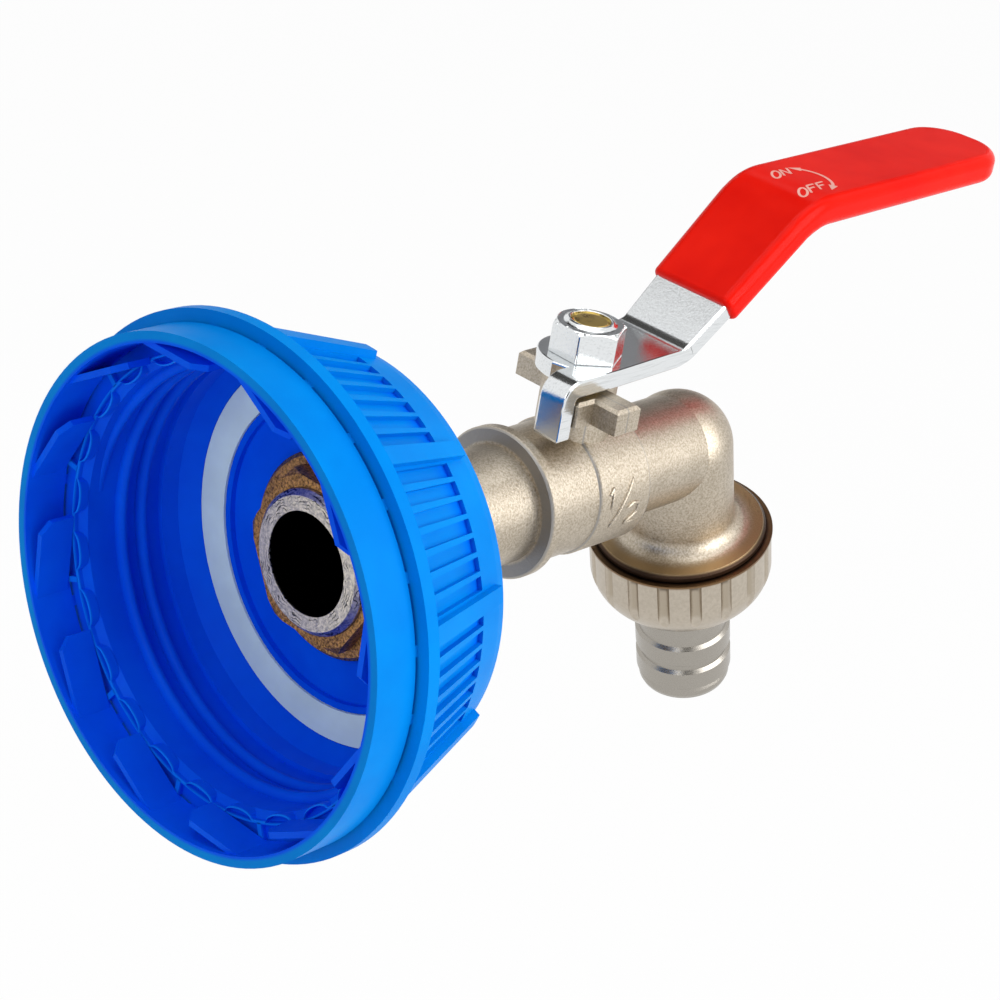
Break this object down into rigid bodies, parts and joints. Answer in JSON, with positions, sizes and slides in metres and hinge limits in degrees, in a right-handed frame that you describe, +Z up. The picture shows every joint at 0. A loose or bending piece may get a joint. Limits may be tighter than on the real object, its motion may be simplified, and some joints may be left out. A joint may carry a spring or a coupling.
{
  "type": "jerry can tap",
  "caption": "Screw cap with a tamper ring that carries a lever ball tap; the angled outlet ends in a fluted union nut and a barbed hose tail.",
  "frame": {"origin": "on the cap axis, at the mouth of the cap's threaded wall", "axes": "+X along the pipe from the cap mouth to the elbow, +Z up along the valve stem, +Y to the left seen from the cap mouth"},
  "size_m": [0.1674, 0.076, 0.0919],
  "materials": {
    "cap_blue": "moulded polyethylene, satin",
    "seal_white": "soft white sealing ring",
    "cast_brass": "dull as cast",
    "rubber_black": "matt",
    "nickel_cast": "nickel plated over a sand cast skin",
    "nickel_satin": "nickel plated, satin",
    "soft_white": "plain white",
    "plain_brass": "turned",
    "plated_steel": "bright plated",
    "sleeve_red": "dipped, glossy"
  },
  "bodies": {
    "tap_body": {"screw_cap": "cap_blue", "cap_seal": "seal_white", "lock_nut": "cast_brass", "cap_washer": "rubber_black", "back_nut": "cast_brass", "inlet_pipe": "nickel_cast", "body_seal": "soft_white", "valve_body": "nickel_cast", "inlet_seat": "soft_white", "outlet_seat": "soft_white", "thrust_washer": "soft_white", "lower_packing": "soft_white", "upper_packing": "soft_white", "gland_nut": "plain_brass"},
    "lever_group": {"lever": "plated_steel", "lever_sleeve": "sleeve_red", "lever_nut": "plated_steel", "stem": "plain_brass", "ball": "plated_steel"},
    "tail_group": {"hose_tail": "nickel_satin", "hose_gasket": "rubber_black"},
    "nut_group": {"union_nut": "nickel_satin"}
  },
  "joints": [
    {"name": "lever_turn", "type": "hinge", "parent": "tap_body", "child": "lever_group", "pos_m": [0.0655, 0, 0], "axis": [0, 0, 1], "range_deg": [-90, 0]},
    {"name": "tail_slide", "type": "slide", "parent": "tap_body", "child": "tail_group", "axis": [0.3074, 0, -0.9516], "range_m": [0, 0.0073]},
    {"name": "nut_turn", "type": "hinge", "parent": "tail_group", "child": "nut_group", "pos_m": [0.093, 0, 0], "axis": [0.3074, 0, -0.9516], "range_deg": [0, 1440]}
  ],
  "couplings": [
    {"joint": "tail_slide", "follows": "nut_turn", "m_per_rad": 0.00028871}
  ]
}
